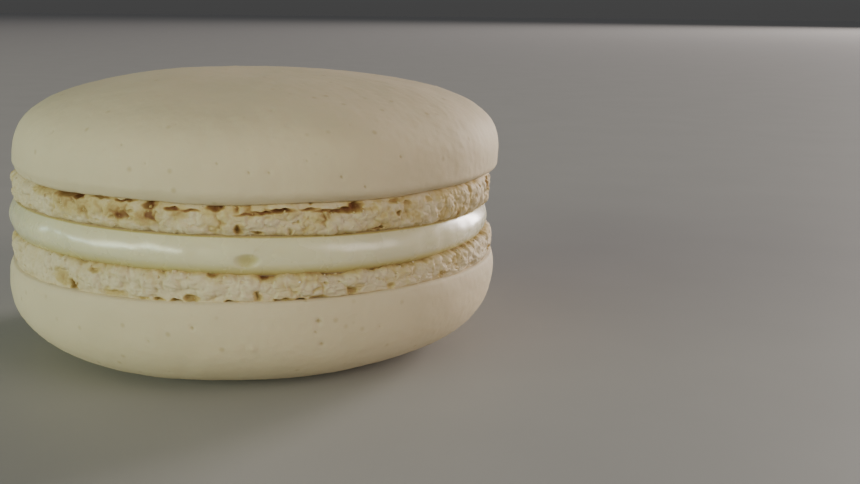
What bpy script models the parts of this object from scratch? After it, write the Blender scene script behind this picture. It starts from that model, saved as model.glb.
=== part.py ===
"""A macaron: two baked almond meringue shells with a round of vanilla cream between them.

Metres, +Z up. The origin is the middle of the flat spot that the cookie rests on, and -Y is its front.
Each shell is turned from one profile, with its heights counted from the seam where it meets the cream.
Its foot, the frothy band that rises as it bakes, is then roughened with lobes and hollows.
"""

import math

import bpy
import numpy as np
from mathutils import Vector

MM = 0.001
GAP = 0.3 * MM

# The whole cookie
TURN_STEPS = 156
CREAM_TURN_STEPS = 78
SIDE_RADIUS = 23.0 * MM
SIDE_MARGIN = 1.5 * MM
TOP_MARGIN = 0.1 * MM
BOTTOM_SEAM = 11.15 * MM
TOP_SEAM = 14.15 * MM
MERGE_DISTANCE = 0.01 * MM
SHARP_ANGLE = math.radians(50)

# The upper shell sits a little to the right of the lower one, and leans down to the right
TOP_SHIFT = 0.38 * MM
TOP_TILT = math.radians(0.75)

# The seams are uneven: the lower one rises at the front left, and the upper one falls to the right
SEAM_HIGH_ANGLE = math.radians(-140)
BOTTOM_SEAM_WAVE = 0.42 * MM
TOP_SEAM_SLOPE = 0.012

# The cream bulges a little out of its flat faces. Its side has rows at these shares of its thickness.
CREAM_RADIUS = 22.6 * MM
CREAM_EDGE_RADIUS = 21.75 * MM
CREAM_SHOULDER = 0.4 * MM
CREAM_SHIFT = -0.2 * MM
BULGE_SHARES = (0.97, 0.86, 0.70, 0.52, 0.34, 0.18, 0.05)
BULGE_POWER = 0.7

# A dome has this many rows, set closer together towards its widest ring by a power above one
DOME_ROWS = 9
ROW_POWER = 1.25

# The line from the dome's widest ring to the foot: how far inside its radius and above the foot
SKIRT = [(0.16 * MM, 0.9 * MM), (0.4 * MM, 0.3 * MM)]

# The foot's side: how far inside its full radius, at shares of its height
FOOT_SIDE = [
    (0.5 * MM, 1.0),
    (0.08 * MM, 0.86),
    (0.0, 0.70),
    (0.0, 0.54),
    (0.0, 0.38),
    (0.12 * MM, 0.22),
    (0.38 * MM, 0.08),
    (0.8 * MM, 0.0),
]
FOOT_FADE = 0.6 * MM

# Each shell: its dome, flat in the middle as far as flat_radius, and its foot below the dome's rim.
# The crown and the foot are each a little to one side of the rim.
TOP_SHELL = {
    "radius": 22.7 * MM,
    "height": 11.95 * MM,
    "widest": 3.7 * MM,
    "flat_radius": 0.0,
    "crown_shift": 0.65 * MM,
    "out_power": 0.93,
    "up_power": 0.62,
    "foot_height": 2.45 * MM,
    "foot_radius": 22.3 * MM,
    "foot_shift": -0.38 * MM,
    "seed": 11,
}
BOTTOM_SHELL = {
    "radius": 23.1 * MM,
    "height": BOTTOM_SEAM,
    "widest": 3.5 * MM,
    "flat_radius": 13.4 * MM,
    "crown_shift": -0.38 * MM,
    "out_power": 1.25,
    "up_power": 0.76,
    "foot_height": 2.2 * MM,
    "foot_radius": 22.55 * MM,
    "foot_shift": 0.05 * MM,
    "seed": 23,
}

# The hollows that show at the front of each foot: the angle in degrees, then in millimetres
# the height from the seam, half the width, half the height and the depth
TOP_HOLLOWS = [
    (-123, 2.35, 1.6, 0.45, 1.0),
    (-111, 1.30, 1.0, 0.55, 0.5),
    (-103, 2.20, 0.8, 0.55, 1.1),
    (-89, 2.30, 0.8, 0.50, 1.1),
    (-77, 1.95, 1.7, 0.40, 1.0),
    (-63, 1.95, 1.6, 0.55, 1.3),
    (-51, 2.10, 0.8, 0.50, 0.8),
]
BOTTOM_HOLLOWS = [
    (-122, 2.15, 1.0, 0.60, 0.9),
    (-111, 1.70, 1.3, 0.45, 0.5),
    (-94, 2.00, 1.0, 0.50, 1.0),
    (-87, 2.25, 1.0, 0.45, 0.9),
    (-72, 2.20, 1.4, 0.40, 0.7),
    (-62, 1.80, 0.9, 0.50, 0.8),
    (-53, 1.70, 0.9, 0.70, 0.7),
    (-39, 1.90, 0.9, 0.60, 0.6),
]
FRONT = (math.radians(-140), math.radians(-30))

# The other hollows and the lobes are spread round the foot at random, between these sizes.
# Their levels are shares of the foot's height.
HOLLOW_COUNT = 30
HOLLOW_LEVEL = (0.70, 1.00)
HOLLOW_HALF_WIDTH = (0.8 * MM, 1.8 * MM)
HOLLOW_HALF_HEIGHT = (0.35 * MM, 0.6 * MM)
HOLLOW_DEPTH = (0.4 * MM, 1.1 * MM)
LOBE_COUNT = 130
LOBE_LEVEL = (0.10, 0.85)
LOBE_HALF_WIDTH = (0.9 * MM, 1.8 * MM)
LOBE_HALF_HEIGHT = (0.5 * MM, 0.9 * MM)
LOBE_SWELL = (0.12 * MM, 0.38 * MM)

CRUST_COLOUR = (0.80, 0.73, 0.57, 1.0)
CRUST_ROUGHNESS = 0.75
CREAM_COLOUR = (0.86, 0.84, 0.68, 1.0)
CREAM_ROUGHNESS = 0.35


def clear_scene():
    for obj in list(bpy.data.objects):
        bpy.data.objects.remove(obj, do_unlink=True)


def make_material(name, colour, roughness):
    material = bpy.data.materials.new(name)
    material.use_nodes = True
    shader = material.node_tree.nodes["Principled BSDF"]
    shader.inputs["Base Color"].default_value = colour
    shader.inputs["Roughness"].default_value = roughness
    shader.inputs["Metallic"].default_value = 0.0
    return material


def dome_rows(shell):
    """(radius, height) pairs from the crown of the dome to its widest ring, on a squared-off arc."""
    rows = []
    for step in range(DOME_ROWS):
        turn = 0.5 * math.pi * (1 - step / (DOME_ROWS - 1)) ** ROW_POWER
        reach = math.cos(turn) ** shell["out_power"]
        rise = math.sin(turn) ** shell["up_power"]
        radius = shell["flat_radius"] + (shell["radius"] - shell["flat_radius"]) * reach
        rows.append((radius, shell["widest"] + (shell["height"] - shell["widest"]) * rise))
    return rows


def shell_profile(shell):
    """(radius, height from the seam) pairs from the crown, down the foot, to the middle of the base."""
    foot = shell["foot_height"]
    rows = dome_rows(shell)
    rows[0] = (shell["flat_radius"], shell["height"])
    if shell["flat_radius"] > 0:
        rows.insert(0, (0.0, shell["height"]))
    rows += [(shell["radius"] - inward, foot + above) for inward, above in SKIRT]
    rows += [(shell["foot_radius"] - inward, share * foot) for inward, share in FOOT_SIDE]
    return rows + [(0.0, 0.0)]


def turned_mesh(name, profile, steps):
    """The profile turned once round Z with a Screw modifier, as a plain mesh."""
    outline = bpy.data.meshes.new(name + "_profile")
    points = [(radius, 0.0, height) for radius, height in profile]
    edges = [(index, index + 1) for index in range(len(points) - 1)]
    outline.from_pydata(points, edges, [])
    lathe = bpy.data.objects.new(name + "_lathe", outline)
    bpy.context.scene.collection.objects.link(lathe)
    screw = lathe.modifiers.new("turn", "SCREW")
    screw.steps = steps
    screw.render_steps = steps
    screw.use_merge_vertices = True
    screw.merge_threshold = MERGE_DISTANCE
    bpy.context.view_layer.update()
    evaluated = lathe.evaluated_get(bpy.context.evaluated_depsgraph_get())
    mesh = bpy.data.meshes.new_from_object(evaluated)
    mesh.name = name
    bpy.data.objects.remove(lathe, do_unlink=True)
    bpy.data.meshes.remove(outline)
    return mesh


def read_points(mesh):
    points = np.empty(len(mesh.vertices) * 3)
    mesh.vertices.foreach_get("co", points)
    return points.reshape(-1, 3)


def write_points(mesh, points):
    mesh.vertices.foreach_set("co", points.ravel())
    mesh.update()


def bottom_seam_rise(points):
    """How far the lower seam lies above its level: two waves round the rim, none in the middle."""
    angle = np.arctan2(points[:, 1], points[:, 0])
    outer = np.hypot(points[:, 0], points[:, 1]) / CREAM_RADIUS
    return BOTTOM_SEAM_WAVE * np.cos(2 * (angle - SEAM_HIGH_ANGLE)) * outer


def top_seam_rise(points):
    """How far the upper seam lies above its level, besides the lean of the upper shell."""
    return -TOP_SEAM_SLOPE * points[:, 0]


def random_spots(random, count, level, half_width, half_height, amount):
    """(angle, height, half width, half height, amount) rows, spread evenly round the foot."""
    places = (np.arange(count) + random.random(count)) * 2 * math.pi / count - math.pi
    ranges = (level, half_width, half_height, amount)
    return list(zip(places, *(random.uniform(low, high, count) for low, high in ranges)))


def highest_spot(angle, height, spots):
    """The highest of many round caps, each as high as its amount and nothing past its half sizes."""
    highest = np.zeros_like(angle)
    for place, middle, wide, tall, amount in spots:
        along = (np.mod(angle - place + math.pi, 2 * math.pi) - math.pi) * SIDE_RADIUS
        near = np.clip(1 - (along / wide) ** 2 - ((height - middle) / tall) ** 2, 0, 1)
        highest = np.maximum(highest, amount * np.sqrt(near))
    return highest


def foot_spots(shell, front_hollows):
    """The lobes of one foot, and its hollows: the ones that show at the front, and others behind."""
    foot = shell["foot_height"]
    random = np.random.default_rng(shell["seed"])
    lobe_level = [share * foot for share in LOBE_LEVEL]
    hollow_level = [share * foot for share in HOLLOW_LEVEL]
    lobes = random_spots(
        random, LOBE_COUNT, lobe_level, LOBE_HALF_WIDTH, LOBE_HALF_HEIGHT, LOBE_SWELL
    )
    others = random_spots(
        random, HOLLOW_COUNT, hollow_level, HOLLOW_HALF_WIDTH, HOLLOW_HALF_HEIGHT, HOLLOW_DEPTH
    )
    hollows = [(math.radians(row[0]), *(size * MM for size in row[1:])) for row in front_hollows]
    hollows += [row for row in others if not FRONT[0] < row[0] < FRONT[1]]
    return lobes, hollows


def crumble(points, height, shell, front_hollows):
    """Roughens the foot, and slides it and the crown a little sideways. height counts from the seam."""
    angle = np.arctan2(points[:, 1], points[:, 0])
    radius = np.hypot(points[:, 0], points[:, 1])
    foot = shell["foot_height"]
    lobes, hollows = foot_spots(shell, front_hollows)
    move = highest_spot(angle, height, lobes) - highest_spot(angle, height, hollows)
    on_side = (radius > shell["foot_radius"] - SIDE_MARGIN) & (height < foot + TOP_MARGIN)
    move = np.where(on_side, move, 0.0)
    points[:, 0] += move * np.cos(angle)
    points[:, 1] += move * np.sin(angle)
    below_rim = np.clip((foot + FOOT_FADE - height) / FOOT_FADE, 0, 1)
    points[:, 0] += shell["foot_shift"] * below_rim * radius / SIDE_RADIUS
    above_rim = np.clip((height - shell["widest"]) / (shell["height"] - shell["widest"]), 0, 1)
    points[:, 0] += shell["crown_shift"] * above_rim


def near_seam(height, shell):
    """1 on the face that lies on the cream, falling to 0 at the top of the foot."""
    return np.clip(1 - height / shell["foot_height"], 0, 1)


def add_solid(name, mesh, material, collection):
    mesh.materials.clear()
    mesh.materials.append(material)
    mesh.shade_smooth()
    mesh.set_sharp_from_angle(angle=SHARP_ANGLE)
    solid = bpy.data.objects.new(name, mesh)
    collection.objects.link(solid)
    return solid


def make_top_shell(material, collection):
    mesh = turned_mesh("top_shell", shell_profile(TOP_SHELL), TURN_STEPS)
    points = read_points(mesh)
    height = points[:, 2].copy()
    crumble(points, height, TOP_SHELL, TOP_HOLLOWS)
    points[:, 2] += top_seam_rise(points) * near_seam(height, TOP_SHELL)
    write_points(mesh, points)
    solid = add_solid("top_shell", mesh, material, collection)
    solid.location = (TOP_SHIFT, 0.0, TOP_SEAM)
    solid.rotation_euler = (0.0, TOP_TILT, 0.0)
    return solid


def make_bottom_shell(material, collection):
    upside_down = [(radius, -height) for radius, height in reversed(shell_profile(BOTTOM_SHELL))]
    mesh = turned_mesh("bottom_shell", upside_down, TURN_STEPS)
    points = read_points(mesh)
    height = -points[:, 2]
    crumble(points, height, BOTTOM_SHELL, BOTTOM_HOLLOWS)
    points[:, 2] += bottom_seam_rise(points) * near_seam(height, BOTTOM_SHELL)
    write_points(mesh, points)
    solid = add_solid("bottom_shell", mesh, material, collection)
    solid.location = (0.0, 0.0, BOTTOM_SEAM)
    return solid


def cream_profile(thickness):
    """(radius, height) pairs from the middle of the cream's top, round its bulge, to underneath."""
    bulge = CREAM_RADIUS - CREAM_EDGE_RADIUS
    shoulder = CREAM_EDGE_RADIUS - CREAM_SHOULDER
    rows = [(0.0, thickness), (shoulder, thickness)]
    for share in BULGE_SHARES:
        swell = math.sin(math.pi * share) ** BULGE_POWER
        rows.append((CREAM_EDGE_RADIUS + bulge * swell, share * thickness))
    return rows + [(shoulder, 0.0), (0.0, 0.0)]


def make_filling(material, collection):
    """The cream: its underside follows the lower seam, and its top follows the upper shell."""
    thickness = TOP_SEAM - BOTTOM_SEAM - 2 * GAP
    mesh = turned_mesh("filling", cream_profile(thickness), CREAM_TURN_STEPS)
    points = read_points(mesh)
    share = points[:, 2] / thickness
    lean = -math.tan(TOP_TILT) * (points[:, 0] - TOP_SHIFT)
    high = lean + top_seam_rise(points)
    points[:, 2] += bottom_seam_rise(points) * (1 - share) + high * share
    write_points(mesh, points)
    solid = add_solid("filling", mesh, material, collection)
    solid.location = (CREAM_SHIFT, 0.0, BOTTOM_SEAM + GAP)
    return solid


def centre_on_origin(solids):
    """Slides the cookie so that the middle of its box is over the origin."""
    bpy.context.view_layer.update()
    corners = [solid.matrix_world @ vertex.co for solid in solids for vertex in solid.data.vertices]
    middle_x = (min(point.x for point in corners) + max(point.x for point in corners)) / 2
    middle_y = (min(point.y for point in corners) + max(point.y for point in corners)) / 2
    for solid in solids:
        solid.location -= Vector((middle_x, middle_y, 0.0))


def make_macaron():
    clear_scene()
    collection = bpy.data.collections.new("macaron")
    bpy.context.scene.collection.children.link(collection)
    crust = make_material("baked_crust", CRUST_COLOUR, CRUST_ROUGHNESS)
    cream = make_material("vanilla_cream", CREAM_COLOUR, CREAM_ROUGHNESS)
    solids = [
        make_bottom_shell(crust, collection),
        make_filling(cream, collection),
        make_top_shell(crust, collection),
    ]
    centre_on_origin(solids)


make_macaron()
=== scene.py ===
"""A vanilla macaron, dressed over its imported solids.

Metres, +Z up, and -Y is the front. The sections follow the cookie from the table up: the lower dome, the
lower foot, the cream, the upper foot, the upper dome and the loose crumbs, and then the studio.
"""

import math

import bpy
import numpy as np
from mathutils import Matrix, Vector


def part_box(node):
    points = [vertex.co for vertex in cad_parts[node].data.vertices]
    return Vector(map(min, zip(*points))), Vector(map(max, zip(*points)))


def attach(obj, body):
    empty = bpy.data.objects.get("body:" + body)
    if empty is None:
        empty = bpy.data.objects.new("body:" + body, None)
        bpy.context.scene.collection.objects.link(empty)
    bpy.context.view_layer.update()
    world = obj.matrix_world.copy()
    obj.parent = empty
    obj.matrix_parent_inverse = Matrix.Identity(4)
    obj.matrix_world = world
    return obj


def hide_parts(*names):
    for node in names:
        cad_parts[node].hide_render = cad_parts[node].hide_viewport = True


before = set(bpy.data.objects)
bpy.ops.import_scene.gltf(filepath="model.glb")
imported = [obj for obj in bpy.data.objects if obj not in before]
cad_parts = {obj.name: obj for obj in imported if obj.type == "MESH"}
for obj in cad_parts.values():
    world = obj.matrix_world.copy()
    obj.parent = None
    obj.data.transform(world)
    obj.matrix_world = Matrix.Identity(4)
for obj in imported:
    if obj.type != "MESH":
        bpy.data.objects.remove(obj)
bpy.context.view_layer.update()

# Lower dome: the smooth half of the lower shell, baked from ground almond, sugar and whipped egg white.
# It was piped as a round and left until it had a skin. The cookie lies on its crown, which is flat.
MM = 0.001
DOME_STEPS = 740
DOME_ROWS = 126
CREAM_MIDDLE = (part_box("filling")[0].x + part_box("filling")[1].x) / 2
LOWER_AXIS = CREAM_MIDDLE + 0.2 * MM
LOWER_SEAM = 11.15 * MM
SEAM_HIGH_ANGLE = math.radians(-140)
LOWER_SEAM_WAVE = 0.42 * MM
SIDE_RADIUS = 23.0 * MM
CREAM_RADIUS = 22.6 * MM
LOWER = {
    "radius": 23.1 * MM,
    "height": LOWER_SEAM,
    "widest": 3.5 * MM,
    "flat_radius": 13.4 * MM,
    "crown_shift": -0.38 * MM,
    "out_power": 1.25,
    "up_power": 0.76,
    "foot_height": 2.2 * MM,
    "foot_radius": 22.55 * MM,
    "foot_shift": 0.05 * MM,
    "hem_tuck": 0.24 * MM,
    "rim_tuck": 0.12 * MM,
    "toast": 0.03,
    # The next share paints shade into the gaps between the crumbs.
    "gap_shade": 0.26,
    "edge_tan": 0.16,
    # The next share paints brown and contact shade along the seam with the cream.
    "seam_brown_and_shade": 0.35,
    "seed": 23,
}
TURN_EVENNESS = 1.25
HEM_CURL = 0.12 * MM
HEM_INSIDE = 0.9
FOOT_FADE = 0.6 * MM
LOWER_RIM_WAVES = ((0.07 * MM, 3, 1.0), (0.04 * MM, 7, 0.0))
WAVE_SPREAD = (0.7, 1.4)
# Broad unevenness, pebbles and grain: how high, and the wavelength.
DOME_SWELLS = ((0.05 * MM, 14 * MM), (0.010 * MM, 2.6 * MM), (0.007 * MM, 0.9 * MM))
CONTACT_FADE = 1.0 * MM
PIT_COUNT = 260
PIT_RADIUS = (0.16 * MM, 0.36 * MM)
PIT_DEPTH = (-0.05 * MM, 0.08 * MM)
# Pits are painted darker with their depth, as painted shade, and are darkest at this depth.
PIT_SHADE_DEPTH = 0.34 * MM
# The pits that show: angle round the cookie in degrees, height, radius and depth in millimetres.
LOWER_PITS = [
    (-94.6, 6.9, 0.30, 0.16),
    (-69.5, 7.3, 0.34, 0.20),
    (-70.2, 6.4, 0.26, 0.14),
    (-69.0, 5.2, 0.32, 0.16),
    (-83.2, 5.1, 0.55, -0.12),
    (-104.0, 5.6, 0.26, 0.10),
    (-56.0, 6.0, 0.24, 0.10),
]
IVORY = (0.68, 0.58, 0.39)
# The freckle colour also paints shade into the pits, and the next tone paints it into the deepest ones.
FRECKLE_AND_PIT_SHADE = (0.45, 0.35, 0.17)
DEEP_PIT_SHADE = (0.26, 0.19, 0.09)
GRAIN_SCALE = 1500.0
CLOUD_SCALE = 150.0
CLOUD_TINT = (0.93, 0.93, 0.92)
WHITE = (1.0, 1.0, 1.0)
FRECKLE_STRENGTH = 0.5
GRAIN_STRENGTH = 0.6
MERINGUE_ROUGHNESS = 0.68
MERINGUE_SHINE = 0.3
MERINGUE_GLOW = (1.0, 0.65, 0.4)
GLOW_DEPTH = 0.8 * MM


def even_line(radius, height, rows):
    """The same line with its points at even distances along it."""
    way = np.concatenate([[0.0], np.cumsum(np.hypot(np.diff(radius), np.diff(height)))])
    stops = np.linspace(0.0, way[-1], rows)
    return np.interp(stops, way, radius), np.interp(stops, way, height)


def dome_line(shell):
    """(radius, height from the seam) of a dome, from its crown to the middle of its underside.

    Down to the widest ring, radius and height are powers of the cosine and sine of one turning angle.
    Below it the skirt draws in with the square of the way down, and its hem curls under by a quarter turn.
    """
    turn = 0.5 * math.pi * np.linspace(1.0, 0.0, 400) ** TURN_EVENNESS
    reach = shell["radius"] - shell["flat_radius"]
    radius = shell["flat_radius"] + reach * np.cos(turn) ** shell["out_power"]
    rise = np.sin(turn) ** shell["up_power"]
    height = shell["widest"] + (shell["height"] - shell["widest"]) * rise
    down = np.linspace(0.0, 1.0, 40)[1:]
    hem = shell["foot_height"] + HEM_CURL
    curl = 0.5 * math.pi * np.linspace(0.0, 1.0, 10)[1:]
    radius = np.concatenate([[0.0], radius, shell["radius"] - shell["hem_tuck"] * down**2])
    height = np.concatenate([[shell["height"]], height, shell["widest"] + (hem - shell["widest"]) * down])
    radius = np.concatenate([radius, radius[-1] - HEM_CURL * (1 - np.cos(curl))])
    height = np.concatenate([height, height[-1] - HEM_CURL * np.sin(curl)])
    radius, height = even_line(radius, height, DOME_ROWS)
    inside = np.array([HEM_INSIDE, 0.0]) * radius[-1]
    return np.concatenate([radius, inside]), np.concatenate([height, np.full(2, height[-1])])


def round_sheet(radius, height, steps):
    """A line of (radius, height) turned once round the axis, as (rows, steps, 3) points."""
    angle = np.linspace(-math.pi, math.pi, steps, endpoint=False)
    upright = np.repeat(height[:, None], steps, axis=1)
    return np.stack([np.outer(radius, np.cos(angle)), np.outer(radius, np.sin(angle)), upright], axis=-1)


def lower_rim_rise(angle):
    """How far the line between the lower dome and its foot strays from level: two sine waves round it."""
    return sum(rise * np.sin(count * angle + start) for rise, count, start in LOWER_RIM_WAVES)


def lean_sideways(points, shell, rim_rise):
    """Slides the crown and the foot a little sideways, and lets the rim stray by rim_rise."""
    height = points[..., 2].copy()
    foot = shell["foot_height"]
    widest = shell["widest"]
    angle = np.arctan2(points[..., 1], points[..., 0])
    radius = np.hypot(points[..., 0], points[..., 1])
    below_rim = np.clip((foot + FOOT_FADE - height) / FOOT_FADE, 0, 1)
    above_rim = np.clip((height - widest) / (shell["height"] - widest), 0, 1)
    points[..., 0] += shell["foot_shift"] * below_rim * radius / SIDE_RADIUS
    points[..., 0] += shell["crown_shift"] * above_rim
    near_rim = np.clip(height / foot, 0, 1) * np.clip((widest - height) / (widest - foot), 0, 1)
    points[..., 2] += rim_rise(angle) * near_rim
    return points


def settle_lower(points):
    """The lower shell's points turned upside down and laid under its seam, which rises in two waves."""
    height = points[..., 2].copy()
    angle = np.arctan2(points[..., 1], points[..., 0])
    outer = np.hypot(points[..., 0], points[..., 1]) / CREAM_RADIUS
    near_seam = np.clip(1 - height / LOWER["foot_height"], 0, 1)
    wave = LOWER_SEAM_WAVE * np.cos(2 * (angle - SEAM_HIGH_ANGLE)) * outer
    points[..., 0] += LOWER_AXIS
    points[..., 2] = LOWER_SEAM - height + wave * near_seam
    return points[::-1].copy()


def swell(points, wavelength, random, waves=24):
    """Gentle unevenness: many sine waves of about one length, each in its own direction, added up."""
    heading = random.normal(size=(waves, 3))
    heading /= np.linalg.norm(heading, axis=1, keepdims=True)
    pace = 2 * math.pi / wavelength * random.uniform(*WAVE_SPREAD, (waves, 1))
    shift = random.uniform(0, 2 * math.pi, waves)
    return np.sin(points @ (heading * pace).T + shift).sum(axis=-1) * math.sqrt(2 / waves)


def push(points, amount):
    """Each point moved by amount along the sheet's outward direction, the cross product of its two ways."""
    down = np.gradient(points, axis=0)
    along = np.roll(points, -1, axis=1) - np.roll(points, 1, axis=1)
    outward = np.cross(down, along)
    outward[0] = outward[1].mean(axis=0)
    outward[-1] = outward[-2].mean(axis=0)
    outward /= np.linalg.norm(outward, axis=-1, keepdims=True)
    return points + outward * amount[..., None]


def pits_at(points, centres, sizes, depths):
    """The depth that round pits reach: each is a bowl, (1 - q squared) squared, q in its own radii."""
    deepest = np.zeros(points.shape[:2])
    for centre, size, depth in zip(centres, sizes, depths):
        near = np.clip(1 - ((points - centre) ** 2).sum(axis=-1) / size**2, 0, 1) ** 2
        deepest = np.where(near > 0, deepest + depth * near, deepest)
    return deepest


def nearest_place(points, axis, place, level):
    """(row, step) of the point nearest to an angle in degrees and a height in millimetres: the one with the
    smallest sum of its distances along the side and upwards."""
    angle = np.arctan2(points[..., 1], points[..., 0] - axis)
    far = np.abs(angle - math.radians(place)) * SIDE_RADIUS + np.abs(points[..., 2] - level * MM)
    return np.unravel_index(np.argmin(far), far.shape)


def dome_relief(points, axis, shown, seed):
    """(how far out, how much painted shade): waves of three lengths, less the pits, painted darker by depth.
    """
    random = np.random.default_rng(seed)
    out = sum(rise * swell(points, wavelength, random) for rise, wavelength in DOME_SWELLS)
    outside = points[:DOME_ROWS]
    centres = [points[nearest_place(outside, axis, place, level)] for place, level, _, _ in shown]
    widths = np.hypot(points[:, 0, 0] - axis, points[:, 0, 1])
    rows = random.choice(len(widths), PIT_COUNT, p=widths / widths.sum())
    steps = random.integers(0, points.shape[1], PIT_COUNT)
    centres = np.vstack([centres, points[rows, steps]])
    sizes = np.concatenate([[row[2] * MM for row in shown], random.uniform(*PIT_RADIUS, PIT_COUNT)])
    depths = np.concatenate([[row[3] * MM for row in shown], random.uniform(*PIT_DEPTH, PIT_COUNT)])
    pits = pits_at(points, centres, sizes, depths)
    return out - pits, np.clip(pits / PIT_SHADE_DEPTH, 0, 1)


def closed_skin(name, points, brown_and_shade):
    """A mesh of a sheet whose first and last rows are single points, and whose rows each run once round."""
    rows, steps = points.shape[:2]
    corners = np.vstack([points[0, :1], points[1:-1].reshape(-1, 3), points[-1, :1]])
    here = np.arange(steps)
    after = (here + 1) % steps
    row = 1 + np.arange(rows - 3)[:, None] * steps
    quads = np.stack([row + here, row + steps + here, row + steps + after, row + after], axis=-1)
    first = np.stack([np.zeros_like(here), 1 + here, 1 + after], axis=-1)
    last_row = 1 + (rows - 3) * steps
    last = np.stack([last_row + here, np.full_like(here, len(corners) - 1), last_row + after], axis=-1)
    faces = first.tolist() + quads.reshape(-1, 4).tolist() + last.tolist()
    tint = np.concatenate([brown_and_shade[0, :1], brown_and_shade[1:-1].ravel(), brown_and_shade[-1, :1]])
    return skin(name, corners, faces, tint)


def skin(name, corners, faces, brown_and_shade):
    """A smooth-shaded mesh piece that keeps, for each of its points, its share of brown and of painted
    shade.
    """
    mesh = bpy.data.meshes.new(name)
    mesh.from_pydata(corners.tolist(), [], faces)
    mesh.shade_smooth()
    mesh.attributes.new("brown_and_shade", "FLOAT", "POINT").data.foreach_set("value", brown_and_shade.astype(np.float32))
    piece = bpy.data.objects.new(name, mesh)
    bpy.context.scene.collection.objects.link(piece)
    return piece


def put(tree, kind, inputs=None, **settings):
    """Adds a node to a material. inputs gives each socket its value, or the output that feeds it."""
    node = tree.nodes.new(kind)
    for setting, value in settings.items():
        setattr(node, setting, value)
    for socket, value in (inputs or {}).items():
        if isinstance(value, bpy.types.NodeSocket):
            tree.links.new(value, node.inputs[socket])
        else:
            node.inputs[socket].default_value = value
    return node


def put_ramp(tree, factor, stops):
    """A colour ramp through (place, colour) stops."""
    node = put(tree, "ShaderNodeValToRGB", {"Fac": factor})
    ends = node.color_ramp.elements
    while len(ends) < len(stops):
        ends.new(0.5)
    for end, (place, colour) in zip(ends, stops):
        end.position = place
        end.color = (*colour, 1.0)
    return node.outputs["Color"]


def put_mix(tree, factor, colour, other, blend="MIX"):
    """One colour mixed with another by a factor. The node keeps its colour sockets at places 6, 7 and 2."""
    node = put(tree, "ShaderNodeMix", {0: factor, 6: colour, 7: other}, data_type="RGBA", blend_type=blend)
    return node.outputs[2]


def grey(level):
    """A grey, for a ramp whose output is a plain share."""
    return (level, level, level)


def new_finish(name):
    """(material, its nodes, its shader, Object coordinates) of a new material."""
    material = bpy.data.materials.new(name)
    material.use_nodes = True
    tree = material.node_tree
    place = put(tree, "ShaderNodeTexCoord").outputs["Object"]
    return material, tree, tree.nodes["Principled BSDF"], place


def put_bump(tree, shader, height, strength, distance):
    """Gives a shader the fine bumps of a noise's value."""
    bump = put(tree, "ShaderNodeBump", {"Height": height, "Strength": strength, "Distance": distance})
    tree.links.new(bump.outputs["Normal"], shader.inputs["Normal"])


def meringue(name, tones, patchiness, freckle_scale, grain_height, softness):
    """Baked meringue. Its colour runs through tones with the sum of the points' share of brown and painted
    shade and patchiness times a fine noise. Faint clouds multiply it, freckles lie on top, and it lets a
    little light in."""
    material, tree, shader, place = new_finish(name)
    fine = {"Vector": place, "Scale": GRAIN_SCALE, "Detail": 5.0, "Roughness": 0.6}
    grain = put(tree, "ShaderNodeTexNoise", fine).outputs["Fac"]
    cloud = put(tree, "ShaderNodeTexNoise", {"Vector": place, "Scale": CLOUD_SCALE, "Detail": 3.0})
    # This attribute holds toasting, and painted shade in the pits, hollows, gaps and along the seams.
    brown_and_shade = put(tree, "ShaderNodeAttribute", attribute_name="brown_and_shade").outputs["Fac"]
    centred = put(tree, "ShaderNodeMath", {0: grain, 1: 0.5}, operation="SUBTRACT")
    level = put(
        tree, "ShaderNodeMath", {0: centred.outputs[0], 1: patchiness, 2: brown_and_shade}, operation="MULTIPLY_ADD"
    )
    toasted = put_ramp(tree, level.outputs[0], tones)
    clouds = put_ramp(tree, cloud.outputs["Fac"], [(0.3, CLOUD_TINT), (0.7, WHITE)])
    clouded = put_mix(tree, 1.0, toasted, clouds, "MULTIPLY")
    spots = put(tree, "ShaderNodeTexVoronoi", {"Vector": place, "Scale": freckle_scale})
    dot = put_ramp(tree, spots.outputs["Distance"], [(0.05, grey(FRECKLE_STRENGTH)), (0.15, grey(0.0))])
    freckled = put_mix(tree, dot, clouded, (*FRECKLE_AND_PIT_SHADE, 1.0))
    tree.links.new(freckled, shader.inputs["Base Color"])
    put_bump(tree, shader, grain, GRAIN_STRENGTH, grain_height)
    shader.inputs["Roughness"].default_value = MERINGUE_ROUGHNESS
    shader.inputs["Specular IOR Level"].default_value = MERINGUE_SHINE
    shader.inputs["Subsurface Weight"].default_value = softness
    shader.inputs["Subsurface Radius"].default_value = MERINGUE_GLOW
    shader.inputs["Subsurface Scale"].default_value = GLOW_DEPTH
    return material


# Dome tones: ivory, then the painted shade of the pits, darker with their depth.
dome_tones = [(0.0, IVORY), (0.10, IVORY), (0.45, FRECKLE_AND_PIT_SHADE), (1.0, DEEP_PIT_SHADE)]
dome_skin = meringue(
    "dome_skin", dome_tones, patchiness=0.30, freckle_scale=480.0, grain_height=0.05 * MM, softness=0.15
)
lower_points = round_sheet(*dome_line(LOWER), DOME_STEPS)
lower_points = settle_lower(lean_sideways(lower_points, LOWER, lower_rim_rise))
lower_out, lower_pit_shade = dome_relief(lower_points, LOWER_AXIS, LOWER_PITS, 5)
lower_out *= np.clip(lower_points[..., 2] / CONTACT_FADE, 0, 1)
lower_dome = closed_skin("lower_dome", push(lower_points, lower_out), lower_pit_shade)
lower_dome.data.materials.append(dome_skin)
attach(lower_dome, "root")
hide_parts("bottom_shell")

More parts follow.
